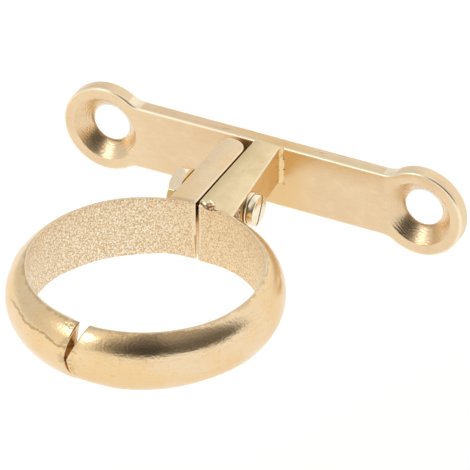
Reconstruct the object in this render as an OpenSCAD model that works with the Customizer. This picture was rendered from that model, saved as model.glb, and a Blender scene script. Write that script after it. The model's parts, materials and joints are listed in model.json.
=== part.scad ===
// Split-ring clamp on a screw-on wall plate, in millimetres.
// A flat bar with two countersunk screw holes carries a short neck and a ring
// made of two half-round jaws. One cross screw and nut close the jaws on a tube.
// Origin: centre of the plate's back face. X runs along the plate, the wall is
// towards +Y, the ring stands out towards -Y with its bore along Z.

/* [Wall plate] */
// Distance between the two screw holes
hole_spacing = 42.5; // [36:0.5:60]
// Diameter of the round ends
end_d = 11.5; // [10:0.1:14]
// Height of the bar between the round ends
bar_h = 8.6; // [8.5:0.1:9.6]
// Thickness of the plate
plate_t = 2; // [1.6:0.1:3]
// Diameter of the screw holes
screw_hole_d = 4.6; // [3.5:0.1:5]
// Diameter of the countersinks at the front face
countersink_d = 8.6; // [8:0.1:9]

/* [Ring] */
// Tube diameter that the ring closes on
bore_d = 28; // [26:0.5:32]
// Height of the ring band
band_h = 8; // [7:0.1:8.2]
// How far the domed outside stands out beyond the rims
crown = 2.3; // [1.6:0.1:3]
// Width of the flat rim at the bore's edge
rim_flat = 0.25; // [0.1:0.05:0.5]
// Gap between the ends of the two jaws
jaw_gap = 0.5; // [0.4:0.1:1.2]
// Where the ring's middle lies from the plate's middle, along the plate
ring_offset = -0.4; // [-1:0.1:0]
// Where the front gap lies from the plate's middle, along the plate
mouth_offset = -2.1; // [-3:0.1:0]

/* [Neck] */
// Distance from the plate's front face to the middle of the ring
reach = 29.3; // [28:0.1:34]
// Height of the neck bars
neck_h = 4.9; // [4:0.1:6]
// Level of the neck's top above the middle of the plate
neck_top = 4.3; // [3.9:0.1:4.3]
// Where the parting of the neck lies from the plate's middle, along the plate
parting_offset = -0.85; // [-1:0.05:0]
// Gap between the tang and the lug along the neck
parting = 0.25; // [0.2:0.05:0.5]
// Thickness of the loose jaw's tang
tang_w = 3.4; // [3:0.05:4.5]
// Width of the lug where it meets the ring
lug_w_ring = 5.1; // [4.5:0.1:6]
// Width of the lug where it meets the plate
lug_w_plate = 3.5; // [3:0.05:4]
// Gap between the tang's tip and the plate
tip_gap = 0.7; // [0.6:0.1:2]

/* [Clamp screw] */
// Distance from the plate's front face to the screw's axis
screw_reach = 10.4; // [10.2:0.1:11]
// Outside diameter of the screw's thread
thread_d = 2.5; // [2:0.1:3]
// Diameter of the slotted head
head_d = 3.9; // [3.6:0.1:5]
// Height of the slotted head
head_h = 1; // [0.8:0.1:1.6]
// Lean of the slot from upright
slot_lean = 26; // [0:1:90]
// Diameter of the washer under the head
washer_d = 4.2; // [4:0.1:5]
// Thickness of the washer
washer_t = 0.5; // [0.3:0.05:0.6]
// Width of the nut across its flats
nut_af = 5.5; // [4.5:0.1:5.8]
// Thickness of the nut
nut_t = 1.65; // [1.4:0.05:2.2]

/* [Hidden] */
$fn = 96;

brass = [0.90, 0.79, 0.57];
braze = [0.80, 0.62, 0.34];
over = 1;                          // how far a cutter runs past the face it cuts
sink_depth = plate_t * 0.8;        // depth of the countersinks
plate_front = -plate_t;            // Y of the plate's front face
ring_y = plate_front - reach;      // Y of the ring's middle
bore_r = bore_d / 2;
crown_r = (band_h * band_h / 4 + crown * crown) / (2 * crown);
crown_x = bore_r + rim_flat + crown - crown_r;
neck_mid = neck_top - neck_h / 2;  // Z of the neck's middle and of the screw
screw_y = plate_front - screw_reach;
lug_x = parting_offset + parting / 2;  // the lug's face at the parting
tang_x = parting_offset - parting / 2; // the tang's face at the parting
tang_tip_y = plate_front - tip_gap;
tip_r_parting = tang_w * 0.62;     // rounding of the tang's tip beside the lug
tip_r_outer = tang_w * 0.34;       // rounding of the tang's tip on its other side
shank_clearance = 0.05;            // radial play of the shank in each hole
braze_grow = 0.3;                  // thickness of the braze round the jaw joint
braze_leg = 0.7;                   // leg of the braze fillet against the plate
braze_hollow = braze_leg * 0.9;    // radius of the fillet's hollow face
seat_depth = 0.65;                 // depth of the washer's seat at the lug's wide end
seat_x = lug_x + lug_w_ring - seat_depth; // floor of the washer's seat
seat_d = washer_d + 0.4;
running_gap = 0.03;                // play beside the washer and the nut
tip_past_nut = 0.6;                // how far the screw's tip passes the nut
nut_x = tang_x - tang_w - running_gap;
head_x = seat_x + washer_t + running_gap;
slot_w = 0.4;
slot_depth = 0.4;
nut_chamfer = 0.5;                 // how far the nut's corners are turned off, across
nut_chamfer_t = 0.35;              // and along its axis
seat_chamfer = 0.22;               // the same on the jaw's side, where the corners
seat_chamfer_t = 0.6;              // have to clear the ring as the loose jaw swings

module on_screw_axis(x) {
    translate([x, screw_y, neck_mid]) rotate([0, 90, 0]) children();
}

// The band's half-round section, turned all the way round. grow thickens it.
module band(grow = 0) {
    translate([ring_offset, ring_y, 0])
        rotate_extrude()
            intersection() {
                translate([crown_x, 0]) circle(r = crown_r + grow);
                translate([bore_r, -band_h / 2 - grow])
                    square([crown_r, band_h + 2 * grow]);
            }
}

module bore_core(r) {
    translate([ring_offset, ring_y, -band_h]) cylinder(r = r, h = 2 * band_h);
}

// Everything on one side of the ring's two gaps: side 1 is +X, side -1 is -X.
// The gaps lie off the ring's middle: the back one in line with the neck's
// parting, and the front one at the mouth.
module ring_side(side) {
    size = bore_d + 8 * crown;
    back_x = parting_offset + side * jaw_gap / 2;
    front_x = mouth_offset + side * jaw_gap / 2;
    for (end = [[back_x, ring_y], [front_x, ring_y - size]])
        translate([side > 0 ? end[0] : end[0] - size, end[1], -band_h])
            cube([size, size, 2 * band_h]);
}

module half_band(side) {
    intersection() {
        band();
        ring_side(side);
    }
}

// Hole and countersink, along Y, at the plate's front face.
module screw_hole() {
    rotate([90, 0, 0]) {
        translate([0, 0, -over]) cylinder(d = screw_hole_d, h = plate_t + 2 * over);
        translate([0, 0, plate_t - sink_depth])
            cylinder(d1 = screw_hole_d, d2 = countersink_d, h = sink_depth);
        translate([0, 0, plate_t]) cylinder(d = countersink_d, h = over);
    }
}

module back_plate() {
    color(brass)
        difference() {
            union() {
                translate([-hole_spacing / 2, plate_front, -bar_h / 2])
                    cube([hole_spacing, plate_t, bar_h]);
                for (side = [-1, 1])
                    translate([side * hole_spacing / 2, 0, 0])
                        rotate([90, 0, 0]) cylinder(d = end_d, h = plate_t);
            }
            for (side = [-1, 1])
                translate([side * hole_spacing / 2, 0, 0]) screw_hole();
        }
}

// The lug's bar in plan: it widens from the plate towards the ring.
module lug_bar(grow = 0) {
    translate([0, 0, neck_mid - neck_h / 2 - grow])
        linear_extrude(neck_h + grow)
            polygon([[lug_x, plate_front], [lug_x, ring_y],
                     [lug_x + lug_w_ring + grow, ring_y],
                     [lug_x + lug_w_ring + grow, ring_y + bore_r],
                     [lug_x + lug_w_plate + grow, plate_front]]);
}

module lug() {
    color(brass)
        difference() {
            lug_bar();
            band(braze_grow);
            bore_core(bore_r + rim_flat);
            on_screw_axis(-over)
                cylinder(r = thread_d / 2 + shank_clearance, h = 3 * lug_w_ring);
            on_screw_axis(seat_x) cylinder(d = seat_d, h = lug_w_ring);
        }
}

module fixed_jaw() {
    color(brass) half_band(1);
}

// A square corner piece of side r with one quarter-round corner, towards +Y and side.
module quarter(r, side) {
    intersection() {
        circle(r = r);
        translate([side > 0 ? 0 : -r, 0]) square(r);
    }
}

// The tang's outline in plan, with its rounded tip.
module tang_plan() {
    left = tang_x - tang_w;
    mid = tang_x - tip_r_parting;
    outer_y = tang_tip_y - tip_r_outer;
    parting_y = tang_tip_y - tip_r_parting;
    translate([left, ring_y]) square([tang_w, parting_y - ring_y]);
    translate([left, ring_y]) square([mid - left, outer_y - ring_y]);
    translate([left + tip_r_outer, ring_y])
        square([mid - left - tip_r_outer, tang_tip_y - ring_y]);
    translate([mid, parting_y]) quarter(tip_r_parting, 1);
    translate([left + tip_r_outer, outer_y]) quarter(tip_r_outer, -1);
}

module loose_jaw() {
    color(brass)
        difference() {
            union() {
                half_band(-1);
                translate([0, 0, neck_mid - neck_h / 2])
                    linear_extrude(neck_h) tang_plan();
            }
            bore_core(bore_r);
            on_screw_axis(tang_x - tang_w - over)
                cylinder(r = thread_d / 2 + shank_clearance, h = tang_w + 2 * over);
        }
}

module clamp_screw() {
    tip_x = nut_x - nut_t - tip_past_nut;
    color(brass)
        difference() {
            union() {
                on_screw_axis(head_x) cylinder(d = head_d, h = head_h);
                on_screw_axis(tip_x) cylinder(d = thread_d, h = head_x - tip_x);
            }
            translate([head_x + head_h - slot_depth, screw_y, neck_mid])
                rotate([-slot_lean, 0, 0])
                    translate([0, -slot_w / 2, -head_d])
                        cube([head_h, slot_w, 2 * head_d]);
        }
}

module washer() {
    color(brass)
        difference() {
            on_screw_axis(seat_x) cylinder(d = washer_d, h = washer_t);
            on_screw_axis(seat_x - over)
                cylinder(r = thread_d / 2 + shank_clearance, h = washer_t + 2 * over);
        }
}

// Six-sided nut with a flat on top. Its corners are turned off at both ends.
module hex_nut() {
    corner_r = nut_af / 2 / cos(30);
    color(brass)
        difference() {
            on_screw_axis(nut_x - nut_t)
                intersection() {
                    rotate([0, 0, 30]) cylinder(r = corner_r, h = nut_t, $fn = 6);
                    union() {
                        cylinder(r1 = corner_r - nut_chamfer, r2 = corner_r,
                                 h = nut_chamfer_t);
                        translate([0, 0, nut_chamfer_t])
                            cylinder(r = corner_r + over,
                                     h = nut_t - nut_chamfer_t - seat_chamfer_t);
                        translate([0, 0, nut_t - seat_chamfer_t])
                            cylinder(r1 = corner_r, r2 = corner_r - seat_chamfer,
                                     h = seat_chamfer_t);
                    }
                }
            on_screw_axis(nut_x - nut_t - over)
                cylinder(r = thread_d / 2 + running_gap, h = nut_t + 2 * over);
        }
}

// Braze fillet in the corner between the lug and the plate: a leg down the
// lug's free side and a leg along its underside.
module braze_plate_joint() {
    side_x = lug_x + lug_w_plate;
    low_z = neck_top - neck_h;
    color(braze)
        difference() {
            union() {
                translate([side_x, plate_front - braze_leg, low_z - braze_leg])
                    cube([braze_leg, braze_leg, neck_h + braze_leg]);
                translate([lug_x, plate_front - braze_leg, low_z - braze_leg])
                    cube([side_x + braze_leg - lug_x, braze_leg, braze_leg]);
            }
            translate([side_x + braze_leg, plate_front - braze_leg, low_z - over])
                cylinder(r = braze_hollow, h = neck_h + 2 * over);
            translate([lug_x - over, plate_front - braze_leg, low_z - braze_leg])
                rotate([0, 90, 0]) cylinder(r = braze_hollow, h = 2 * lug_w_ring);
            lug_bar();
        }
}

// Braze between the lug's saddle end and the ring, with a low bead round it.
module braze_jaw_joint() {
    color(braze)
        difference() {
            intersection() {
                lug_bar(braze_grow);
                band(braze_grow);
                ring_side(1);
            }
            band();
            bore_core(bore_r + rim_flat);
        }
}

back_plate();
lug();
fixed_jaw();
loose_jaw();
clamp_screw();
washer();
hex_nut();
braze_plate_joint();
braze_jaw_joint();
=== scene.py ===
# %% [markdown]
# # A brass ring clamp on a wall plate
# The clamp is a flat bar with two countersunk holes, a short neck, and a ring of two
# half-round jaws that a cross screw closes on a tube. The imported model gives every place
# and size, so this file starts by loading it and reads its measures from it. What is
# added here is what castings and hand finishing leave: soft edges, wavy rims, cast grain,
# brazed joints and a worn, warm polish.

# %% Load the frame
import json
import math

import bmesh
import bpy
from mathutils import Matrix, Vector, noise


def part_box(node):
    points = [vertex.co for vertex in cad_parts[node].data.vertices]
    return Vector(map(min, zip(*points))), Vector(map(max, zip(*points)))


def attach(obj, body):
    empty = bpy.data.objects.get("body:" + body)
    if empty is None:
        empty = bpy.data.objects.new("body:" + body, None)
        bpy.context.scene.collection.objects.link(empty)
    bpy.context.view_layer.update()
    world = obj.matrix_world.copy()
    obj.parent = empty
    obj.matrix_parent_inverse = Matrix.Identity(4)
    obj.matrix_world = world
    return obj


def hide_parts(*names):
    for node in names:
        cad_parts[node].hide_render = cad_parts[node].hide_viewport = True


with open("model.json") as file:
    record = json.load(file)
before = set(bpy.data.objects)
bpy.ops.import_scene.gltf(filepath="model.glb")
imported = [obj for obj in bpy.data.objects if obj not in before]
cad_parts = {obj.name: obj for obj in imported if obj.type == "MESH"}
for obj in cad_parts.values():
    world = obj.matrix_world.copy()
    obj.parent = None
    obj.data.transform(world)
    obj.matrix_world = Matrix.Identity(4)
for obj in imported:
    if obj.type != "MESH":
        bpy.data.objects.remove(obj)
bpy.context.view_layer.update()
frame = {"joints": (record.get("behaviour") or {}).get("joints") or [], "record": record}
MM = 0.001

# %% Measures of the clamp
mounts = {m["name"]: m for m in frame["record"]["mounts"]}
joints = {j["name"]: j for j in frame["joints"]}
plate_low, plate_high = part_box("back_plate")
jaw_low, jaw_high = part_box("fixed_jaw")
lug_low, lug_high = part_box("lug")
tang_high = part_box("loose_jaw")[1]
nut_low, nut_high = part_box("hex_nut")
screw_low, screw_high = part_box("clamp_screw")
washer_low, washer_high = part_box("washer")

front_y = plate_low.y
disc_r = plate_high.z
hole_x = plate_high.x - disc_r
hole_r = mounts["wall_screw_holes"]["dims"]["hole_r_mm"] * MM
ring_centre = Vector(mounts["tube_ring"]["pos_m"])
bore_r = mounts["tube_ring"]["dims"]["r_mm"] * MM
outer_r = jaw_high.x - ring_centre.x
half_band = jaw_high.z
parting_x = (lug_low.x + tang_high.x) / 2
screw_axis = Vector(joints["screw_turn"]["pos_m"])
print("ring bore", round(2 * bore_r / MM, 1), "mm, outside", round(2 * outer_r / MM, 1), "mm")

# %% [markdown]
# ## Helpers
# Every piece is built from closed shapes made by bmesh operators. A few helpers repeat:
# one joins or cuts two shapes with the exact boolean solver, one rounds edges, one turns a
# profile round an axis, and the last one makes the finished bmesh a piece that rides on its
# body and stands for its CAD node. A bevel modifier would round edges too, but the rounded
# strips have to be in the mesh itself, so that they can be marked as worn.

# %% Helpers for shapes
MERGE = 0.001 * MM  # vertices closer than this become one
NEAR = 0.01 * MM  # places closer than this count as the same


def verts_of(geom):
    return [g for g in geom if isinstance(g, bmesh.types.BMVert)]


def last_vert(spun):
    """The vertex in which a spun vertex ends."""
    return verts_of(spun["geom_last"])[0]


def loose_object(bm):
    """Puts the bmesh in an object of its own, for a boolean. The bmesh is used up."""
    mesh = bpy.data.meshes.new("shape")
    bm.to_mesh(mesh)
    bm.free()
    shape = bpy.data.objects.new("shape", mesh)
    bpy.context.scene.collection.objects.link(shape)
    return shape


def carve(bm, tool, operation):
    """Joins or cuts bm with tool and returns the result. Both bmeshes are used up."""
    target, cutter = loose_object(bm), loose_object(tool)
    cut = target.modifiers.new("carve", "BOOLEAN")
    cut.object, cut.operation, cut.solver = cutter, operation, "EXACT"
    result = bmesh.new()
    result.from_object(target, bpy.context.evaluated_depsgraph_get())
    for used in (target, cutter):
        mesh = used.data
        bpy.data.objects.remove(used)
        bpy.data.meshes.remove(mesh)
    bmesh.ops.remove_doubles(result, verts=result.verts, dist=MERGE)
    return result


def round_edges(bm, edges, radius, segments=3):
    bmesh.ops.bevel(bm, geom=list(edges), offset=radius, offset_type="OFFSET",
                    segments=segments, profile=0.5, affect="EDGES", material=-1,
                    clamp_overlap=True)


def sharp_edges(bm, angle=35):
    """The edges where the surface turns by more than this angle in degrees."""
    limit = math.radians(angle)
    return [e for e in bm.edges if e.is_manifold and e.calc_face_angle(0) > limit]


def turned(bm, profile, centre, axis, steps=96):
    """Turns an open profile of (radius, distance along the axis) round into a closed shape."""
    axis = Vector(axis).normalized()
    side = axis.orthogonal().normalized()
    verts = [bm.verts.new(centre + side * r + axis * d) for r, d in profile]
    edges = [bm.edges.new(pair) for pair in zip(verts, verts[1:])]
    if profile[0] != profile[-1] and profile[0][0] > 0 and profile[-1][0] > 0:
        edges.append(bm.edges.new((verts[-1], verts[0])))
    bmesh.ops.spin(bm, geom=verts + edges, cent=centre, axis=axis, angle=2 * math.pi,
                   steps=steps, use_merge=True, use_duplicate=False)
    bmesh.ops.remove_doubles(bm, verts=bm.verts, dist=MERGE)
    bmesh.ops.recalc_face_normals(bm, faces=bm.faces)
    return bm


def box_shape(low, high):
    bm = bmesh.new()
    size = Vector(high) - Vector(low)
    bmesh.ops.create_cube(bm, size=1, matrix=Matrix.LocRotScale(
        (Vector(low) + Vector(high)) / 2, None, size))
    return bm


# %% [markdown]
# Two marks are stored on the faces for the finishes to read. Edges wear first, so the narrow
# strips where the surface turns sharply are marked as worn. The bore's wall is marked because
# it keeps its cast grain.

# %% Marks that the finishes read
WORN_ANGLE = math.radians(14)
WORN_WIDTH = 0.2 * MM
BORE_REACH = 0.04 * MM
UPRIGHT = 0.7  # a wall's normal leans less than this out of the level


def mark_wear(bm):
    """Marks the narrow strips where the surface turns sharply."""
    worn = bm.faces.layers.float.new("worn")
    for face in bm.faces:
        width = face.calc_area() / max(e.calc_length() for e in face.edges)
        turn = max(e.calc_face_angle(0) for e in face.edges)
        face[worn] = 1.0 if width < WORN_WIDTH and turn > WORN_ANGLE else 0.0


def mark_bore(bm):
    """Marks the faces of the bore's wall."""
    bore = bm.faces.layers.float.new("bore")
    for face in bm.faces:
        flat = face.calc_center_median() - ring_centre
        inside = math.hypot(flat.x, flat.y) < bore_r + BORE_REACH
        face[bore] = 1.0 if inside and abs(face.normal.z) < UPRIGHT else 0.0


# %% Helper that finishes a piece
def add_piece(bm, name, node, body, smooth_angle=38):
    """Makes the bmesh a piece that rides on its body and stands for its CAD node."""
    bmesh.ops.recalc_face_normals(bm, faces=bm.faces)
    mark_wear(bm)
    mark_bore(bm)
    mesh = bpy.data.meshes.new(name)
    bm.to_mesh(mesh)
    bm.free()
    for face in mesh.polygons:
        face.use_smooth = True
    mesh.set_sharp_from_angle(angle=math.radians(smooth_angle))
    piece = bpy.data.objects.new(name, mesh)
    bpy.context.scene.collection.objects.link(piece)
    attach(piece, body)
    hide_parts(node)
    print(name, len(mesh.polygons), "faces")
    return piece


# %% [markdown]
# ## The wall plate
# The plate is cut from flat bar: two round ends run into the bar in hollow curves. A
# boolean of a box and two discs would leave sharp corners where they meet, so the outline
# is drawn as one edge loop instead. One vertex is spun round the fillet's centre, the last
# one of that arc round the disc's centre, and mirroring finishes the loop.

# %% Plate outline
bar_half = 4.3 * MM
fillet_r = 3.0 * MM


def quarter_outline(bm):
    """Bar edge, hollow fillet and round end, from the middle to the far end of the plate."""
    rise = bar_half + fillet_r
    back = math.sqrt((disc_r + fillet_r) ** 2 - rise ** 2)
    fillet_centre = Vector((hole_x - back, front_y, rise))
    disc_centre = Vector((hole_x, front_y, 0))
    swing = math.atan2(back, rise)
    middle = bm.verts.new((0, front_y, bar_half))
    start = bm.verts.new((fillet_centre.x, front_y, bar_half))
    bm.edges.new((middle, start))
    spun = bmesh.ops.spin(bm, geom=[start], cent=fillet_centre, axis=(0, 1, 0),
                          angle=-swing, steps=10)
    bmesh.ops.spin(bm, geom=verts_of(spun["geom_last"]), cent=disc_centre, axis=(0, 1, 0),
                   angle=math.pi / 2 + swing, steps=34)


plate = bmesh.new()
quarter_outline(plate)
for axis in ("X", "Z"):
    bmesh.ops.mirror(plate, geom=plate.verts[:] + plate.edges[:], axis=axis,
                     merge_dist=MERGE)
bmesh.ops.remove_doubles(plate, verts=plate.verts, dist=2 * MERGE)
bmesh.ops.contextual_create(plate, geom=plate.edges)
raised = bmesh.ops.extrude_face_region(plate, geom=plate.faces[:])
bmesh.ops.translate(plate, vec=(0, -front_y, 0), verts=verts_of(raised["geom"]))
print("plate outline", len(plate.verts) // 2, "points")

# %% [markdown]
# The holes are countersunk from the front. Each cutter is one profile turned about the
# hole's axis, so that hole, cone and mouth stay on one centre. The rims are rounded after
# the cut: a plate like this is tumbled or buffed, which leaves no edge sharp.

# %% Plate holes and edges
sink_r = 4.3 * MM
throat_r = 2.75 * MM
sink_depth = 1.4 * MM
plate_t = -front_y
plate_edge_r = 0.28 * MM
sink_edge_r = 0.08 * MM
past = 1 * MM  # how far cutters stand out of what they cut
for side in (-1, 1):
    cutter = turned(bmesh.new(),
                    [(0, -past), (hole_r, -past), (hole_r, 0), (throat_r, plate_t - sink_depth),
                     (sink_r, plate_t), (sink_r, plate_t + past), (0, plate_t + past)],
                    Vector((side * hole_x, 0, 0)), (0, -1, 0))
    plate = carve(plate, cutter, "DIFFERENCE")


def on_face(edge, y):
    return all(abs(v.co.y - y) < 2 * MERGE for v in edge.verts)


front_edges = [e for e in sharp_edges(plate) if on_face(e, front_y)]
rims = [e for e in front_edges
        if min((v.co - Vector((math.copysign(hole_x, v.co.x), front_y, 0))).length
               for v in e.verts) < sink_r + 0.05 * MM]
outer = [e for e in front_edges if e not in rims]
back_edges = [e for e in sharp_edges(plate) if on_face(e, 0)]
round_edges(plate, outer + back_edges, plate_edge_r)
round_edges(plate, rims, sink_edge_r, segments=2)
wall_plate = add_piece(plate, "wall_plate", "back_plate", "root")

# %% [markdown]
# ## The two jaws
# Each jaw is half a ring with a domed outside and a plain bore. It is a sand casting with a
# filed and polished outside, so its section is turned round the ring's centre and then
# disturbed: the rims wander up and down and the dome swells a little. A full ring cut in
# two would be simpler, but then both jaws would carry the same faults. Here each has its own.

# %% Where the jaws end
rim_flat = 0.25 * MM
crown = outer_r - bore_r - rim_flat
dome_r = (half_band ** 2 + crown ** 2) / (2 * crown)
dome_x = outer_r - dome_r
half_gap = 0.25 * MM
mouth_x = jaw_low.x - half_gap
print("the front gap lies", round((mouth_x - ring_centre.x) / MM, 1), "mm off the ring's middle")


def end_turn(x):
    """How far an end face that meets the bore at x is turned from the ring's middle."""
    return math.asin((x - ring_centre.x) / bore_r)


# %% Half-round section, turned into a jaw
def ring_section(bm):
    """The D-shaped section at the back of the ring, as one face."""
    centre = ring_centre + Vector((0, dome_x, 0))
    rim = bm.verts.new(ring_centre + Vector((0, bore_r + rim_flat, half_band)))
    spun = bmesh.ops.spin(bm, geom=[rim], cent=centre, axis=(1, 0, 0), steps=24,
                          angle=-2 * math.asin(half_band / dome_r))
    low, high = [bm.verts.new(ring_centre + Vector((0, bore_r, z)))
                 for z in (-half_band, half_band)]
    bm.edges.new((last_vert(spun), low))
    bm.edges.new((high, rim))
    bmesh.ops.subdivide_edges(bm, edges=[bm.edges.new((low, high))], cuts=15)
    bmesh.ops.contextual_create(bm, geom=bm.edges[:])


def half_ring(side, steps=120):
    """Spins the section from the back parting to the front gap, on the +X or -X side."""
    bm = bmesh.new()
    ring_section(bm)
    back, front = (end_turn(x + side * half_gap) for x in (parting_x, mouth_x))
    bmesh.ops.rotate(bm, verts=bm.verts, cent=ring_centre, matrix=Matrix.Rotation(-back, 3, "Z"))
    bmesh.ops.spin(bm, geom=bm.faces[:] + bm.edges[:] + bm.verts[:], cent=ring_centre,
                   axis=(0, 0, 1), angle=-side * math.pi + front + back, steps=steps)
    bmesh.ops.recalc_face_normals(bm, faces=bm.faces)
    return bm


def end_edges(bm, at_front):
    """The edges round the jaw's end face at the front gap or at the back parting."""
    x = mouth_x if at_front else parting_x
    return [e for e in sharp_edges(bm, 60)
            if all(abs(v.co.x - x) < 1 * MM and (v.co.y < ring_centre.y) == at_front
                   for v in e.verts)]


def rim_edges(bm):
    """The sharp edges along the jaw's top and bottom rims."""
    return [e for e in sharp_edges(bm, 30)
            if all(abs(abs(v.co.z) - half_band) < NEAR for v in e.verts)]


# %% [markdown]
# The front ends run across the band on a slant with rounded corners, and the parting at the
# back closes towards the bottom. Both are filed by hand, so each jaw has its own amounts.

# %% Shape of the mouth, and casting faults
MOUTH_REACH = 6 * MM
PARTING_REACH = 3 * MM
BACK_CLEAR = 4 * MM
LOW_RIM = 3.2  # the lower rim wanders this many times as much again
RIM_ROUND = 0.07 * MM
WANDER = 6 * MM  # about how far apart the swellings lie


def bump(x, middle, width):
    """A smooth rise that is 1 at the middle and falls away over the width."""
    return math.exp(-((x - middle) / width) ** 2)


def draw_mouth(bm, top, bottom, middle):
    """Moves the front end's corners and its middle along X, and less so further back."""
    for vert in bm.verts:
        flat = vert.co - ring_centre
        away = abs(vert.co.x - mouth_x) / MOUTH_REACH
        if flat.y < 0 and away < 1:
            height = flat.z / half_band
            shift = top * height if height > 0 else -bottom * height
            shift += middle * (1 - height ** 2)
            vert.co.x += shift * (1 - away) ** 2


def close_parting(bm, shift):
    """Moves the lower part of the back end along X, so that the parting narrows downwards."""
    for vert in bm.verts:
        away = abs(vert.co.x - parting_x) / PARTING_REACH
        height = vert.co.z / half_band
        if vert.co.y > ring_centre.y and away < 1 and height < 0:
            vert.co.x += shift * height ** 2 * (1 - away) ** 2


def cast_wander(bm, seed, rises, rim=0.10 * MM, dome=0.07 * MM):
    """Moves the rims and swells the dome by smooth noise. The top rim also rises by bumps,
    each a place along X, a width and a height, where it was filed to meet the neck."""
    for vert in bm.verts:
        flat = vert.co - ring_centre
        place = vert.co / WANDER + Vector((seed, 0, 0))
        height = flat.z / half_band
        radial = Vector((flat.x, flat.y, 0)).normalized()
        outside = max(0.0, math.hypot(flat.x, flat.y) - bore_r) / crown
        vert.co.z += rim * noise.noise(place) * abs(height) ** 3
        if height < 0:
            vert.co.z += LOW_RIM * rim * noise.noise(place * 1.1) * abs(height) ** 3
        if height > 0 and flat.y > 0:
            vert.co.z += sum(rise * bump(flat.x, x, width) for x, width, rise in rises) \
                * height ** 6
        swell = noise.noise(place * 1.3 + Vector((0, 9, 0)))
        if swell > 0:  # the back must stay clear of the nut as the jaw swings
            swell *= max(0.0, min(1.0, -flat.y / BACK_CLEAR))
        vert.co += radial * dome * outside * swell


def cast_jaw(side, front_r, front_steps, back_r, mouth, parting, seed, rises):
    """Half a ring with rounded ends and rims, its own mouth and its own casting faults."""
    bm = half_ring(side)
    round_edges(bm, end_edges(bm, True), front_r, segments=front_steps)
    round_edges(bm, end_edges(bm, False), back_r)
    round_edges(bm, rim_edges(bm), RIM_ROUND, segments=2)
    draw_mouth(bm, *mouth)
    close_parting(bm, parting)
    cast_wander(bm, seed, rises)
    return bm


# %% Right jaw
right = cast_jaw(side=1, front_r=0.7 * MM, front_steps=6, back_r=0.3 * MM,
                 mouth=(1.6 * MM, 0.55 * MM, -0.15 * MM), parting=-0.2 * MM, seed=3.1,
                 rises=[(3.7 * MM, 1.5 * MM, 0.3 * MM), (1.3 * MM, 0.9 * MM, -0.45 * MM)])
right_jaw = add_piece(right, "right_jaw", "fixed_jaw", "root")

# %% [markdown]
# ## The tang
# The loose jaw and its tang are one casting. The tang is a bar that stops short of the
# plate, and its tip is rounded most on the side of the lug. Its outline is drawn with two
# spun corners and raised, and its top and bottom edges are rounded before it joins the ring.

# %% Left jaw with its tang
neck_low, neck_high = lug_low.z, lug_high.z
tang_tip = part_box("loose_jaw")[1].y
tang_left = tang_high.x - 3.4 * MM
tip_r = 2.1 * MM
tip_r_outer = 1.15 * MM
tang_edge_r = 0.2 * MM
ring_top = half_band + 0.1 * MM
foot_depth = 1.5 * MM  # how far tang and lug reach into the ring before they are cut
tang_clear = 0.08 * MM  # how far the tang's foot stays behind the bore


def tang_bar():
    """The tang, from inside the ring's wall to its rounded tip, with its top sloping down."""
    bm = bmesh.new()
    right_x = tang_high.x
    start = ring_centre.y + bore_r - foot_depth
    foot = [bm.verts.new((x, start, neck_low)) for x in (right_x, tang_left)]
    bend = bm.verts.new((right_x, tang_tip - tip_r, neck_low))
    tip = last_vert(bmesh.ops.spin(bm, geom=[bend], axis=(0, 0, 1), angle=math.pi / 2, steps=12,
                                   cent=(right_x - tip_r, tang_tip - tip_r, neck_low)))
    outer = bm.verts.new((tang_left + tip_r_outer, tang_tip, neck_low))
    side = last_vert(bmesh.ops.spin(bm, geom=[outer], axis=(0, 0, 1), angle=math.pi / 2, steps=8,
                                    cent=(tang_left + tip_r_outer, tang_tip - tip_r_outer,
                                          neck_low)))
    for pair in ((foot[0], bend), (tip, outer), (side, foot[1]), (foot[1], foot[0])):
        bm.edges.new(pair)
    bmesh.ops.contextual_create(bm, geom=bm.edges[:])
    raised = bmesh.ops.extrude_face_region(bm, geom=bm.faces[:])
    bmesh.ops.translate(bm, vec=(0, 0, neck_high - neck_low), verts=verts_of(raised["geom"]))
    bmesh.ops.recalc_face_normals(bm, faces=bm.faces)
    round_edges(bm, [e for e in sharp_edges(bm)
                     if abs(e.verts[0].co.z - e.verts[1].co.z) < NEAR
                     and max(v.co.y for v in e.verts) > start + NEAR], tang_edge_r)
    slope_top(bm)
    return bm


def slope_top(bm):
    """Lets the neck's top fall towards the ring, where it meets the rim."""
    bore_y = ring_centre.y + bore_r
    for vert in bm.verts:
        along = (front_y - vert.co.y) / (front_y - bore_y)
        if vert.co.z > 0:
            vert.co.z -= (neck_high - ring_top) * max(0.0, min(1.0, along)) ** 2


def bore_cutter(clear):
    """A round plug that fills the bore and is larger by the clearance."""
    radius, reach = bore_r + clear, 2 * half_band
    return turned(bmesh.new(), [(0, -reach), (radius, -reach), (radius, reach), (0, reach)],
                  ring_centre, (0, 0, 1), steps=256)


left = cast_jaw(side=-1, front_r=0.85 * MM, front_steps=7, back_r=0.15 * MM,
                mouth=(0.8 * MM, 0.5 * MM, 0.1 * MM), parting=0.2 * MM, seed=8.4,
                rises=[(-1.5 * MM, 2.5 * MM, 0.12 * MM)])
tang = carve(tang_bar(), bore_cutter(tang_clear), "DIFFERENCE")
left = carve(left, tang, "UNION")
left_jaw = add_piece(left, "left_jaw", "loose_jaw", "jaw")

# %% [markdown]
# ## The lug
# The lug is a plain bar that narrows towards the plate. Its other end is a saddle that was
# filed to fit the ring. The saddle comes from cutting the bar with the same domed section,
# a round seat is cut for the washer, because the bar's side isn't square to the screw, and
# an uneven pit is cut where the braze boiled at the ring's rim.

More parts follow.
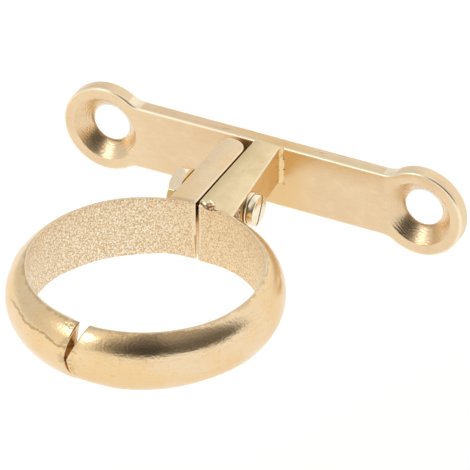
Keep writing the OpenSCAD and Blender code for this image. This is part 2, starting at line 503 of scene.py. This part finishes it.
# %% Lug
lug_w_ring = 5.1 * MM
lug_w_plate = 3.5 * MM
lug_edge_r = 0.18 * MM
lug_clear = 0.12 * MM
saddle_clear = 0.02 * MM
seat_r = 2.3 * MM
seat_depth = 3 * MM
pit_half = (1.45, 0.78, 0.72)
pit_centre = Vector((0.45 * MM, ring_centre.y + bore_r + 0.35 * MM, ring_top + 0.25 * MM))


def lug_bar():
    """The tapered bar, from inside the ring's wall to the plate."""
    start, end = ring_centre.y + bore_r, front_y
    bm = box_shape((lug_low.x, start, neck_low), (lug_low.x + lug_w_ring, end, neck_high))
    for vert in bm.verts:
        if vert.co.y > end - NEAR and vert.co.x > lug_low.x + NEAR:
            vert.co.x = lug_low.x + lug_w_plate
        if vert.co.y < start + NEAR:
            vert.co.y -= foot_depth
    bmesh.ops.subdivide_edges(bm, edges=[e for e in bm.edges if e.calc_length() > 8 * MM],
                              cuts=12, use_grid_fill=True)
    round_edges(bm, [e for e in sharp_edges(bm)
                     if abs(e.verts[0].co.y - e.verts[1].co.y) > 0.5 * MM], lug_edge_r)
    slope_top(bm)
    return bm


def domed_ring(grow):
    """The whole ring's outside, grown a little, as a cutter."""
    reach = dome_r + grow
    rise = math.asin(min(1, (half_band + grow) / reach))
    arc = [(dome_x + reach * math.cos(a), reach * math.sin(a))
           for a in (rise * (step / 16 - 1) for step in range(33))]
    inner = bore_r - 2 * foot_depth
    return turned(bmesh.new(), [(inner, arc[0][1]), *arc, (inner, arc[-1][1])],
                  ring_centre, (0, 0, 1), steps=160)


def brazing_pit():
    """A ball squeezed to the pit's half sizes in mm and swollen unevenly."""
    bm = bmesh.new()
    bmesh.ops.create_icosphere(bm, subdivisions=4, radius=1)
    for vert in bm.verts:
        swollen = 1 + 0.35 * noise.noise(vert.co * 1.7)
        vert.co = Vector([half * c for half, c in zip(pit_half, vert.co)]) * swollen * MM
    bmesh.ops.translate(bm, verts=bm.verts, vec=pit_centre)
    return bm


lug = lug_bar()
seat = turned(bmesh.new(), [(0, 0), (seat_r, 0), (seat_r, seat_depth), (0, seat_depth)],
              Vector((washer_low.x, screw_axis.y, screw_axis.z)), (1, 0, 0), steps=64)
lug = carve(lug, seat, "DIFFERENCE")
lug = carve(lug, domed_ring(saddle_clear), "DIFFERENCE")
lug = carve(lug, bore_cutter(lug_clear), "DIFFERENCE")
lug = carve(lug, brazing_pit(), "DIFFERENCE")
neck_lug = add_piece(lug, "neck_lug", "lug", "root")

# %% [markdown]
# ## Brazed joints
# The lug was brazed at both ends with little care: the metal stands in the corner at the
# plate as a hollow, uneven fillet with a few beads beside it, and at the ring it lies as a
# pool in the pit. Both shapes start as finely divided boxes. The fillet's vertices are drawn
# in towards the lug as they leave the plate, and noise makes either of them uneven.

# %% Braze at the plate
leg = 0.68 * MM
inset = 0.03 * MM
sunk = 0.2 * MM  # how deep the fillet's box reaches into the plate
bead_places = ((3.7, 0.10), (2.7, 0.16), (2.45, 0.09), (1.2, 0.13), (-0.9, 0.11))
fillet_side = lug_low.x + lug_w_plate
fillet = box_shape((lug_low.x + inset, front_y - leg, neck_low - leg),
                   (fillet_side + leg, front_y + sunk, neck_high - inset))
bmesh.ops.subdivide_edges(fillet, edges=fillet.edges[:], cuts=44, use_grid_fill=True)
for vert in fillet.verts:
    away = max(0.0, min(1.0, (front_y - vert.co.y) / leg))
    lumps = 0.78 + 0.55 * noise.noise(vert.co / (0.8 * MM))
    spread = 0.04 + lumps * (1 - away) ** 2.2
    beside = max(0.0, vert.co.x - fillet_side)
    under = max(0.0, neck_low - vert.co.z)
    vert.co.x -= beside * (1 - min(1.0, spread))
    vert.co.z += under * (1 - min(1.0, spread))
beads = bmesh.new()
for z, radius in bead_places:  # both in mm
    place = Vector((fillet_side + leg - radius * MM, front_y, z * MM))
    bmesh.ops.create_icosphere(beads, subdivisions=3, radius=radius * MM,
                               matrix=Matrix.Translation(place))
fillet = carve(fillet, beads, "UNION")
plate_braze = add_piece(fillet, "plate_braze", "braze_plate_joint", "root")

# %% Braze at the ring
pool_y = ring_centre.y + bore_r
pool_clear = 0.14 * MM
pool_bottom = 2.9 * MM
skin_from = 3.4 * MM  # above this height the pool is uneven
pool = box_shape((-0.55 * MM, pool_y - 0.4 * MM, pool_bottom),
                 (4.3 * MM, pool_y + 1.5 * MM, ring_top - 0.28 * MM))
bmesh.ops.subdivide_edges(pool, edges=pool.edges[:], cuts=48, use_grid_fill=True)
for vert in pool.verts:
    if vert.co.z > skin_from:
        lumps = 0.16 * MM * noise.noise(vert.co / (0.45 * MM))
        grit = 0.09 * MM * noise.noise(vert.co / (0.16 * MM))
        vert.co.z += lumps + grit
pool = carve(pool, bore_cutter(pool_clear), "DIFFERENCE")
jaw_braze = add_piece(pool, "jaw_braze", "braze_jaw_joint", "root")

# %% [markdown]
# ## Screw, washer and nut
# Turned parts come off a lathe, so each is one profile turned about the screw's axis. The
# thread is a small tooth spun with a rise for each turn, which is what a die cuts. The slot
# is then cut across the head, and leans by as much as the screw happened to be turned.

# %% Clamp screw
thread_r = 1.25 * MM
pitch = 0.45 * MM
head_r = (screw_high.z - screw_low.z) / 2
head_x = washer_high.x + 0.03 * MM
head_h = screw_high.x - head_x
edge = 0.18 * MM

screw_origin = Vector((head_x, screw_axis.y, screw_axis.z))
shank_end = head_x - screw_low.x
tooth_depth = 0.6 * pitch
core_r = thread_r - tooth_depth
profile = [(0, head_h), (head_r * 0.55, head_h), (head_r * 0.85, head_h - 0.08 * MM),
           (head_r - 0.05 * MM, head_h - edge), (head_r, head_h - 1.6 * edge),
           (head_r, edge * 0.5), (head_r - 0.5 * edge, 0), (core_r, 0),
           (core_r, edge - shank_end), (core_r - edge, -shank_end), (0, -shank_end)]
screw = turned(bmesh.new(), profile, screw_origin, (1, 0, 0), steps=80)
slot_w = 0.32 * MM
slot_depth = 0.35 * MM
slot_reach = 3 * MM
slot_lean = math.radians(26)
slot_cutter = box_shape((head_h - slot_depth, -slot_w / 2, -slot_reach),
                        (2 * head_h, slot_w / 2, slot_reach))
bmesh.ops.transform(slot_cutter, verts=slot_cutter.verts,
                    matrix=Matrix.Translation(screw_origin) @ Matrix.Rotation(-slot_lean, 4, "X"))
screw = carve(screw, slot_cutter, "DIFFERENCE")


def thread(start_x, end_x, radius, depth):
    """A tooth spun round the axis with one pitch of rise a turn, as a closed ridge."""
    bm = bmesh.new()
    turns = int((end_x - start_x) / pitch)
    foot = radius - depth
    tooth = [bm.verts.new(Vector((start_x, screw_axis.y, screw_axis.z + r)) + Vector((x, 0, 0)))
             for r, x in ((foot, 0), (radius, pitch * 0.38), (radius, pitch * 0.5),
                          (foot, pitch * 0.88))]
    face = bm.faces.new(tooth)
    steps = 32
    bmesh.ops.spin(bm, geom=[face, *face.edges, *face.verts],
                   cent=(start_x, screw_axis.y, screw_axis.z), axis=(1, 0, 0),
                   dvec=(pitch / steps, 0, 0), angle=2 * math.pi * turns,
                   steps=steps * turns)
    bmesh.ops.recalc_face_normals(bm, faces=bm.faces)
    return bm


root_sunk = 0.03 * MM  # the tooth's foot lies this deep inside the core
ridge = loose_object(thread(screw_low.x + 0.1 * MM, head_x - 0.2 * MM, thread_r,
                            tooth_depth + root_sunk))
screw.from_mesh(ridge.data)
bpy.data.objects.remove(ridge)
slotted_screw = add_piece(screw, "slotted_screw", "clamp_screw", "screw")

# %% Washer
washer_r = (washer_high.z - washer_low.z) / 2
washer_t = washer_high.x - washer_low.x
washer_hole_r = 1.3 * MM
soft = 0.07 * MM
washer_profile = [(washer_hole_r, 0), (washer_r - soft, 0), (washer_r, soft),
                  (washer_r, washer_t - soft), (washer_r - soft, washer_t),
                  (washer_hole_r, washer_t), (washer_hole_r, 0)]
washer = turned(bmesh.new(), washer_profile,
                Vector((washer_low.x, screw_axis.y, screw_axis.z)), (1, 0, 0), steps=72)
flat_washer = add_piece(washer, "flat_washer", "washer", "root")

# %% [markdown]
# The nut is what a hexagonal prism and a turned blank have in common, so its corners are
# turned off at both ends. Towards the ring they would otherwise catch the jaw as it swings.

# %% Nut
nut_t = nut_high.x - nut_low.x
flat_r = (nut_high.z - nut_low.z) / 2
corner_r = flat_r / math.cos(math.pi / 6)
nut = bmesh.new()
bmesh.ops.create_cone(nut, cap_ends=True, segments=6, radius1=corner_r, radius2=corner_r,
                      depth=nut_t)
bmesh.ops.transform(nut, verts=nut.verts, matrix=Matrix.Translation(
    ((nut_low.x + nut_high.x) / 2, screw_axis.y, screw_axis.z))
    @ Matrix.Rotation(math.pi / 2, 4, "Y") @ Matrix.Rotation(math.pi / 6, 4, "Z"))
nut_edge_r = 0.1 * MM
nut_bore_r = 1.29 * MM
nut_mouth_r = 1.6 * MM
nut_mouth_depth = 0.3 * MM
blank_end = 0.12 * MM
chamfer = 0.5 * MM
ring_chamfer = 0.22 * MM
ring_chamfer_t = 0.6 * MM
blank = turned(bmesh.new(), [(0, 0), (flat_r * 0.96, 0), (corner_r + blank_end, chamfer),
                             (corner_r, nut_t - ring_chamfer_t),
                             (corner_r - ring_chamfer, nut_t), (0, nut_t)],
               Vector((nut_low.x, screw_axis.y, screw_axis.z)), (1, 0, 0), steps=96)
nut = carve(nut, blank, "INTERSECT")
bored = turned(bmesh.new(), [(0, -past), (nut_mouth_r, -past), (nut_mouth_r, 0),
                             (nut_bore_r, nut_mouth_depth), (nut_bore_r, nut_t + past),
                             (0, nut_t + past)],
               Vector((nut_low.x, screw_axis.y, screw_axis.z)), (1, 0, 0), steps=64)
nut = carve(nut, bored, "DIFFERENCE")
round_edges(nut, [e for e in sharp_edges(nut, 20)
                  if abs(e.verts[0].co.x - e.verts[1].co.x) > 0.5 * MM], nut_edge_r, segments=2)
chamfered_nut = add_piece(nut, "chamfered_nut", "hex_nut", "nut",
                          smooth_angle=18)

# %% [markdown]
# ## Finishes
# The whole clamp is brass, but its surfaces are finished in different ways: the plate is
# brushed, the ring is polished over its casting skin, the bore is left as cast, and the
# turned parts are bright. One image could hold all of that, but it would need unwrapping
# and would blur close up. Here every finish is a set of patterns worked out in
# millimetres from the object's own coordinates, so a scratch is as wide as a real one.


# %% Helpers for finishes
class Patterns:
    """Nodes of one node tree. Each is wired to the ones before it as it is added."""

    def __init__(self, tree):
        self.tree = tree

    def node(self, kind, inputs=None, **settings):
        made = self.tree.nodes.new("ShaderNode" + kind)
        for key, value in settings.items():
            setattr(made, key, value)
        for key, value in (inputs or {}).items():
            self.feed(made.inputs[key], value)
        return made

    def feed(self, socket, value):
        if isinstance(value, bpy.types.NodeSocket):
            self.tree.links.new(value, socket)
        else:
            socket.default_value = value

    def step(self, value, low, high, start=0.0, end=1.0):
        """Carries value from start to end as it goes from low to high, and holds it outside."""
        made = self.node("MapRange", {"Value": value, "From Min": low, "From Max": high,
                                      "To Min": start, "To Max": end},
                         interpolation_type="SMOOTHSTEP")
        return made.outputs[0]

    def math(self, operation, first, second=0.0):
        return self.node("Math", {0: first, 1: second}, operation=operation).outputs[0]

    def blend(self, factor, first, second):
        """A number that goes from first to second as the factor goes from 0 to 1."""
        return self.node("Mix", {0: factor, 2: first, 3: second}).outputs[0]

    def mixed(self, factor, first, second):
        """A colour that goes from first to second as the factor goes from 0 to 1."""
        made = self.node("Mix", data_type="RGBA")
        for socket, value in ((0, factor), (6, first), (7, second)):
            if isinstance(value, tuple):
                value = (*value, 1)
            self.feed(made.inputs[socket], value)
        return made.outputs[2]

    def tinted(self, colour, mask, strength, tint):
        """Covers the colour with the tint where the mask is 1, as far as the strength says."""
        return self.mixed(self.math("MULTIPLY", mask, strength), colour, tint)


class Finish(Patterns):
    """A metal whose patterns are measured in millimetres on the object."""

    def __init__(self, name):
        self.material = bpy.data.materials.new(name)
        self.material.use_nodes = True
        super().__init__(self.material.node_tree)
        self.shader = self.tree.nodes["Principled BSDF"]
        self.shader.inputs["Metallic"].default_value = 1.0
        coordinates = self.node("TexCoord").outputs["Object"]
        self.place = self.node("VectorMath", {0: coordinates, "Scale": 1 / MM},
                               operation="SCALE").outputs[0]

    def clouds(self, size, detail=3.0, shift=0.0, squeeze=(1, 1, 1)):
        """Noise from 0 to 1 whose patches are about size mm across."""
        spread = [s / size for s in squeeze]
        place = self.node("Mapping", {"Vector": self.place, "Scale": spread,
                                      "Location": (shift, shift * 0.7, -shift)})
        made = self.node("TexNoise", {"Vector": place.outputs[0], "Scale": 1.0,
                                      "Detail": detail, "Roughness": 0.55})
        return made.outputs["Fac"]

    def mark(self, name):
        """The mark of this name that is stored on the faces."""
        return self.node("Attribute", attribute_name=name).outputs["Fac"]

    def axis(self, name):
        """The place along X, Y or Z in mm."""
        return self.node("SeparateXYZ", {0: self.place}).outputs[name]

    def wear(self, colour, roughness, *heights):
        """Wires the colour, the roughness and the bumps, each a height and its depth in mm."""
        self.feed(self.shader.inputs["Base Color"], colour)
        self.feed(self.shader.inputs["Roughness"], roughness)
        normal = None
        for height, depth in heights:
            bump = self.node("Bump", {"Height": height, "Distance": depth * MM})
            if normal:
                self.feed(bump.inputs["Normal"], normal)
            normal = bump.outputs["Normal"]
        if normal:
            self.feed(self.shader.inputs["Normal"], normal)
        return self.material


# %% [markdown]
# The colours are named for what the brass has been through, or for the painted light they
# stand for. Tarnish, also used as painted shade, and bright, rubbed metal, also used as
# painted glints, are the same on all pieces, and the others belong to one finish each.

# %% Colours of brass
PALE = (0.85, 0.66, 0.43)
GOLD = (0.84, 0.61, 0.33)
# dark brown: tarnish in the pores and nicks, and painted shade in the crease and along the rims
TARNISH_AND_SHADE = (0.36, 0.24, 0.12)
BRIGHT = (0.97, 0.86, 0.65)
STREAKED = (0.66, 0.48, 0.26)
# the whitest skin colour is painted glints on the bore's left side
SKIN_DARK, SKIN_PALE, BORE_GLINT = (0.68, 0.49, 0.27), (0.93, 0.75, 0.49), (1.0, 0.96, 0.86)
BAR_PALE, BAR_GOLD = (0.82, 0.64, 0.41), (0.80, 0.60, 0.38)
BRUSHED, BUFFED = (0.72, 0.52, 0.29), (0.90, 0.76, 0.54)
# the plate's dark brown is painted shade for the countersinks
# the plate's deep gold is a painted reflection of the lug
LUG_REFLECTED, SINK_SHADE = (0.80, 0.55, 0.26), (0.62, 0.42, 0.20)
LUG_PALE, LUG_GOLD = (0.90, 0.73, 0.45), (0.82, 0.63, 0.36)
# the lug's shade colour is painted shade, and its low gold is a painted reflection on its sides
LUG_SHADE, LUG_SIDE_REFLECTED, FILED = (0.55, 0.42, 0.20), (0.84, 0.60, 0.30), (0.50, 0.36, 0.18)
TURNED_PALE, TURNED_GOLD = (0.97, 0.87, 0.68), (0.90, 0.75, 0.52)
BRAZE_PALE, BRAZE_GOLD = (0.92, 0.73, 0.42), (0.84, 0.61, 0.31)
BURNT, BOILED = (0.26, 0.13, 0.06), (0.72, 0.46, 0.28)

# %% [markdown]
# ## Ring finish
# The jaws were cast, then filed and polished outside. Broad clouds turn the brass from pale
# to golden, fine specks are the pores that polish never reaches, and painted shade lies along
# the rims and in a crease left by filing on the loose jaw's outside. The bore was never
# touched: a mark on its faces swaps in the pale, grainy skin of the casting, with painted
# glints on its left side.


# %% Ring finish
def jaw_finish():
    """Polished over a casting skin outside, and left as cast in the bore."""
    f = Finish("jaw_brass")
    bore = f.mark("bore")
    worn = f.mark("worn")
    broad = f.clouds(6.0, shift=2.0)
    speck = f.clouds(0.30, detail=2.0)
    grain = f.clouds(0.20, detail=1.5, shift=5.0)
    smear = f.clouds(1.3, detail=4.0, shift=3.0)
    streak = f.clouds(0.28, detail=3.0, shift=8.0, squeeze=(0.16, 0.16, 1))
    colour = f.mixed(f.step(broad, 0.36, 0.64), PALE, GOLD)
    colour = f.tinted(colour, f.step(streak, 0.52, 0.72), 0.25, STREAKED)
    colour = f.tinted(colour, f.step(speck, 0.60, 0.78), 0.35, TARNISH_AND_SHADE)
    x, y, z = (f.axis(a) for a in "XYZ")
    # the crease is a thin line on the loose jaw's front that falls towards the mouth: a shallow
    # groove in the bumps, darkened with painted shade
    side = f.math("MULTIPLY", f.step(y, -41.0, -43.0), f.step(x, -0.6, -1.4))
    crease = f.math("ADD", z, f.step(x, -6.0, -1.0, -1.9, -1.15))
    crease = f.math("ADD", crease, f.step(f.clouds(2.0, shift=6.0), 0.3, 0.7, -0.25, 0.25))
    crease = f.step(f.math("ABSOLUTE", crease), 0.22, 0.06)
    crease = f.math("MULTIPLY", crease, side)
    colour = f.tinted(colour, crease, 0.6, TARNISH_AND_SHADE)
    # the scuffs lie on both sides of the front gap
    near_mouth = f.math("ABSOLUTE", f.math("SUBTRACT", x, mouth_x / MM - 0.2))
    scuff = f.math("MULTIPLY", f.step(near_mouth, 1.7, 0.4), f.step(y, -40.0, -42.0))
    scuff = f.math("MULTIPLY", scuff, f.step(smear, 0.50, 0.60))
    colour = f.tinted(colour, scuff, 0.4, TARNISH_AND_SHADE)
    # painted shade lies along the rims beside the bore
    flat = f.node("VectorMath", {0: f.place, 1: (1, 1, 0)}, operation="MULTIPLY").outputs[0]
    middle = (ring_centre.x / MM, ring_centre.y / MM, 0)
    radius = f.node("VectorMath", {0: flat, 1: middle}, operation="DISTANCE").outputs["Value"]
    rim = f.math("ADD", f.math("ABSOLUTE", z), f.step(smear, 0.3, 0.7, -0.15, 0.25))
    beside_bore = f.step(radius, bore_r / MM + 0.8, bore_r / MM + 0.3)
    rim_shade = f.math("MULTIPLY", f.step(rim, 3.78, 4.0), beside_bore)
    colour = f.tinted(colour, rim_shade, 0.38, TARNISH_AND_SHADE)
    cast = f.mixed(f.step(grain, 0.34, 0.60), SKIN_DARK, SKIN_PALE)
    # painted glints: the grain on the bore's left side is whitened
    cast = f.tinted(cast, f.step(x, 2.0, -9.0), f.step(grain, 0.45, 0.7), BORE_GLINT)
    colour = f.mixed(bore, colour, cast)
    colour = f.tinted(colour, worn, 0.45, BRIGHT)
    rough = f.blend(bore, f.step(broad, 0.3, 0.7, 0.15, 0.27), 0.5)
    swell = f.clouds(1.6, detail=2.0, shift=1.0)
    height = f.blend(bore, speck, grain)
    streak = f.math("MULTIPLY", streak, f.math("SUBTRACT", 1.0, bore))
    return f.wear(colour, rough, (swell, 0.014), (streak, 0.010), (height, 0.018),
                  (crease, -0.03), (scuff, -0.02))


# %% [markdown]
# ## Plate finish
# The bar was brushed along its length, and a painted golden reflection of the lug lies beside
# it, which also shows as a band on the back. The countersinks keep the rings that the cutter
# left and patches of painted shade. Nicks from handling sit on the outer edges, where the
# noise is stretched into short lines.


# %% Plate finish
def plate_finish():
    """Brushed along the bar, with a painted golden reflection of the lug beside it."""
    f = Finish("plate_brass")
    worn = f.mark("worn")
    x, y, z = (f.axis(a) for a in "XYZ")
    broad = f.clouds(8.0, shift=4.0)
    smear = f.clouds(1.8, detail=4.0, shift=6.0)
    brushed = f.clouds(0.22, detail=4.0, squeeze=(0.12, 1, 1))
    colour = f.mixed(f.step(broad, 0.35, 0.65), BAR_PALE, BAR_GOLD)
    colour = f.tinted(colour, f.step(brushed, 0.45, 0.7), 0.35, BRUSHED)
    colour = f.tinted(colour, f.step(smear, 0.5, 0.7), 0.25, BUFFED)
    # painted reflection: the lug's golden side shown on the plate beside it, and as a band on the
    # back
    lug_reflection = f.step(f.math("ADD", x, smear), 9.5, 3.5)
    beside = f.math("ADD", x, f.step(y, -1.4, -0.4, 0.0, 5.0))
    lug_reflection = f.math("MULTIPLY", lug_reflection, f.step(beside, -2.5, 2.5))
    colour = f.tinted(colour, lug_reflection, 0.85, LUG_REFLECTED)
    from_middle = f.node("CombineXYZ", {0: f.math("ABSOLUTE", x), 2: z}).outputs[0]
    from_hole = f.node("VectorMath", {0: from_middle, 1: (hole_x / MM, 0, 0)},
                       operation="DISTANCE").outputs["Value"]
    sink = f.step(from_hole, sink_r / MM + 0.15, sink_r / MM - 0.05)
    throat = f.step(from_hole, throat_r / MM + 0.12, throat_r / MM - 0.02)
    turning = f.math("SINE", f.math("MULTIPLY", f.math("ADD", from_hole, smear), 24.0))
    turning = f.math("MULTIPLY", turning, f.math("SUBTRACT", sink, throat))
    nick = f.clouds(0.35, detail=2.0, shift=9.0, squeeze=(0.12, 1, 0.12))
    side = f.math("MULTIPLY", f.step(y, -1.95, -1.75), f.step(y, -0.1, -0.3))
    off_hole = f.math("SUBTRACT", 1.0, f.step(from_hole, sink_r / MM + 0.5, sink_r / MM + 0.3))
    nick = f.math("MULTIPLY", side, f.step(nick, 0.66, 0.72))
    colour = f.tinted(colour, f.math("MULTIPLY", nick, off_hole), 0.45, TARNISH_AND_SHADE)
    # painted shade in patches in the countersinks
    sink_shade = f.math("MULTIPLY", f.math("SUBTRACT", sink, throat), f.step(smear, 0.48, 0.68))
    colour = f.tinted(colour, sink_shade, 0.3, SINK_SHADE)
    colour = f.tinted(colour, f.math("MULTIPLY", worn, off_hole), 0.7, BRIGHT)
    rough = f.step(broad, 0.3, 0.7, 0.28, 0.40)
    rough = f.math("SUBTRACT", rough, f.math("MULTIPLY", sink, 0.08))
    return f.wear(colour, rough, (smear, 0.01), (brushed, 0.007), (turning, 0.006))


# %% [markdown]
# ## Lug finish
# The lug was filed by hand, so its scratches run along it, and its colour is a little more
# yellow than the castings because it is cut from drawn bar.


# %% Lug finish
def lug_finish():
    """Filed along the neck, with painted shade on the side of the parting and a painted golden
    reflection on its sides lower down.
    """
    f = Finish("neck_brass")
    worn = f.mark("worn")
    x, z = f.axis("X"), f.axis("Z")
    broad = f.clouds(4.0, detail=4.0, shift=7.0)
    scratches = f.clouds(0.22, detail=3.0, squeeze=(1, 0.16, 1))
    colour = f.mixed(f.step(broad, 0.35, 0.65), LUG_PALE, LUG_GOLD)
    shade = f.step(f.math("ADD", x, broad), 1.3, -0.2)
    colour = f.tinted(colour, shade, 0.35, LUG_SHADE)
    # painted reflection: the sides below the top are golden from the plate and lug facing each
    # other
    colour = f.tinted(colour, f.step(z, 4.1, 3.6), 0.6, LUG_SIDE_REFLECTED)
    colour = f.tinted(colour, f.step(scratches, 0.62, 0.74), 0.5, FILED)
    colour = f.tinted(colour, worn, 0.6, BRIGHT)
    return f.wear(colour, f.step(broad, 0.3, 0.7, 0.25, 0.4), (broad, 0.05), (scratches, 0.02))


# %% [markdown]
# ## Screw finish
# Turned brass is the palest and brightest on the clamp. Its fine noise isn't stretched in
# any direction, as the screw was tumbled after turning.


# %% Screw finish
def screw_finish():
    """Bright and even, with a fine grain."""
    f = Finish("screw_brass")
    worn = f.mark("worn")
    broad = f.clouds(1.6, detail=3.0, shift=3.0)
    grain = f.clouds(0.1, detail=2.0)
    colour = f.mixed(f.step(broad, 0.35, 0.65), TURNED_PALE, TURNED_GOLD)
    colour = f.tinted(colour, f.step(grain, 0.62, 0.78), 0.3, TARNISH_AND_SHADE)
    colour = f.tinted(colour, worn, 0.5, BRIGHT)
    return f.wear(colour, f.step(broad, 0.3, 0.7, 0.18, 0.30), (broad, 0.01), (grain, 0.004))


# %% [markdown]
# ## Braze finish
# The braze is golden where it wetted the plate. At the ring it boiled: that end is red-brown
# with burnt flux in the pits, and painted glints are scattered between the pits.


# %% Braze finish
def braze_finish():
    """Golden at the plate, burnt and pitted at the ring, with painted glints."""
    f = Finish("braze_metal")
    blobs = f.clouds(0.30, detail=3.0, shift=2.0)
    ring_end = f.step(f.axis("Y"), -9.0, -12.0)
    gold = f.mixed(f.step(blobs, 0.35, 0.65), BRAZE_PALE, BRAZE_GOLD)
    pit_colour = f.mixed(f.step(blobs, 0.42, 0.58), BURNT, BOILED)
    # painted glints: bright specks between the pits
    pit_colour = f.mixed(f.step(blobs, 0.60, 0.66), pit_colour, BRIGHT)
    colour = f.mixed(ring_end, gold, pit_colour)
    height = f.math("MULTIPLY", blobs, f.step(ring_end, 0.0, 1.0, 0.35, 1.0))
    return f.wear(colour, f.step(blobs, 0.3, 0.7, 0.5, 0.25), (height, 0.05))


# %% Finishes on the pieces
jaw_brass = jaw_finish()
for piece in (left_jaw, right_jaw):
    piece.data.materials.append(jaw_brass)
wall_plate.data.materials.append(plate_finish())
neck_lug.data.materials.append(lug_finish())
screw_brass = screw_finish()
for piece in (slotted_screw, flat_washer, chamfered_nut):
    piece.data.materials.append(screw_brass)
braze_metal = braze_finish()
for piece in (plate_braze, jaw_braze):
    piece.data.materials.append(braze_metal)
print(len(bpy.data.materials), "finishes")

# %% [markdown]
# ## Stage, light and camera
# Polished brass shows whatever stands around it, so the look depends on the room more than
# on the lamps. The camera has a long lens: the far end of the plate looks almost as large
# as the near end. It looks down from the right of the ring, as the clamp is usually shown.

# %% Camera
def outward(azimuth, elevation):
    """The direction out from the clamp at these angles in degrees, azimuth 0 being its front."""
    a, e = math.radians(azimuth), math.radians(elevation)
    return Vector((math.sin(a) * math.cos(e), -math.cos(a) * math.cos(e), math.sin(e)))


def place_facing(thing, aim, direction, distance):
    """Links a camera or a lamp, moves it out from the aim and turns it back to face it."""
    bpy.context.scene.collection.objects.link(thing)
    thing.location = aim + direction * distance
    thing.rotation_euler = direction.to_track_quat("Z", "Y").to_euler()


azimuth, elevation = 26.63, 33.76
distance = 623.3 * MM
aim_right = 10.51 * MM
aim_up = 6.71 * MM
view_angle = math.radians(5.08)
back = outward(azimuth, elevation)
across = Vector((math.cos(math.radians(azimuth)), math.sin(math.radians(azimuth)), 0))
camera = bpy.data.objects.new("camera", bpy.data.cameras.new("camera"))
place_facing(camera, ring_centre + across * aim_right + back.cross(across) * aim_up,
             back, distance)
camera.data.angle = view_angle
camera.data.clip_start = 10 * MM
bpy.context.scene.camera = camera
print("camera", round(distance / MM), "mm away")

# %% [markdown]
# The clamp would be screwed to a wall, so it hangs free over white paper, low enough for the
# loose jaw to swing down. The paper glows a little, because a studio lights it separately
# until it shows no shadow, and it is what the undersides of the ring and plate reflect.

# %% Floor
FLOOR_DROP = 32 * MM
FLOOR_HALF = 2.0
floor_bm = bmesh.new()
bmesh.ops.create_grid(floor_bm, x_segments=1, y_segments=1, size=FLOOR_HALF,
                      matrix=Matrix.Translation((0, 0, plate_low.z - FLOOR_DROP)))
floor_mesh = bpy.data.meshes.new("floor")
floor_bm.to_mesh(floor_mesh)
floor_bm.free()
floor = bpy.data.objects.new("floor", floor_mesh)
bpy.context.scene.collection.objects.link(floor)
paper = bpy.data.materials.new("paper")
paper.use_nodes = True
paper_inputs = paper.node_tree.nodes["Principled BSDF"].inputs
paper_inputs["Base Color"].default_value = (0.92, 0.92, 0.92, 1)
paper_inputs["Roughness"].default_value = 0.9
paper_inputs["Emission Color"].default_value = (1, 1, 1, 1)
paper_inputs["Emission Strength"].default_value = 0.36
floor.data.materials.append(paper)
print("floor", round(FLOOR_DROP / MM), "mm below the plate")

# %% [markdown]
# The room is drawn as brightness by direction. It is white all round and a little dimmer at
# the left, apart from a dark, warm side at the right above the paper. That side is what puts
# the brown band on the ring's dome and in the countersinks. A plain grey room would leave
# the brass looking like plastic.

# %% Room
world = bpy.data.worlds.new("studio")
world.use_nodes = True
bpy.context.scene.world = world
room = Patterns(world.node_tree)
towards = room.node("TexCoord").outputs["Generated"]
height = room.node("SeparateXYZ", {0: towards}).outputs["Z"]
level = room.node("VectorMath", {0: towards, 1: (1, 1, 0)}, operation="MULTIPLY").outputs[0]
level = room.node("VectorMath", {0: level}, operation="NORMALIZE").outputs[0]


def facing(azimuth, half_width, soft):
    """1 for directions within half_width degrees of an azimuth, with a soft border."""
    turn = room.node("VectorMath", {0: level, 1: outward(azimuth, 0)},
                     operation="DOT_PRODUCT").outputs["Value"]
    return room.step(turn, math.cos(math.radians(half_width + soft)),
                     math.cos(math.radians(half_width - soft)))


WHITE, WARM = (1, 1, 1), (1, 0.9, 0.78)
walls = room.blend(facing(-100, 50, 25), 1.05, 0.78)
# the dark side grows lighter towards the top and has a darker core
dark = room.math("MULTIPLY", room.step(height, 0.55, 1.1, 0.16, 0.55),
                 room.blend(facing(28, 16, 10), 1.0, 0.42))
dark_side = room.math("MULTIPLY", facing(50, 62, 12), room.step(height, 0.20, 0.30))
background = world.node_tree.nodes["Background"].inputs
room.feed(background["Color"], room.mixed(dark_side, WHITE, WARM))
room.feed(background["Strength"], room.blend(dark_side, walls, dark))
bpy.context.scene.view_settings.view_transform = "Standard"
print("room", len(world.node_tree.nodes), "nodes")


# %% [markdown]
# One square soft box stands at the upper left. It makes the white streaks in the
# countersinks and the highlights at both ends of the mouth.

# %% Soft box
def soft_box(name, azimuth, elevation, distance, size, radiance):
    """A square area light that faces the clamp and shows in it as a surface this bright."""
    lamp = bpy.data.objects.new(name, bpy.data.lights.new(name, "AREA"))
    lamp.data.size = size
    lamp.data.energy = radiance * math.pi * size * size
    place_facing(lamp, ring_centre, outward(azimuth, elevation), distance)
    print(name, round(lamp.data.energy, 2), "W")


soft_box("key_box", azimuth=-38, elevation=40, distance=0.7, size=0.22, radiance=2.9)
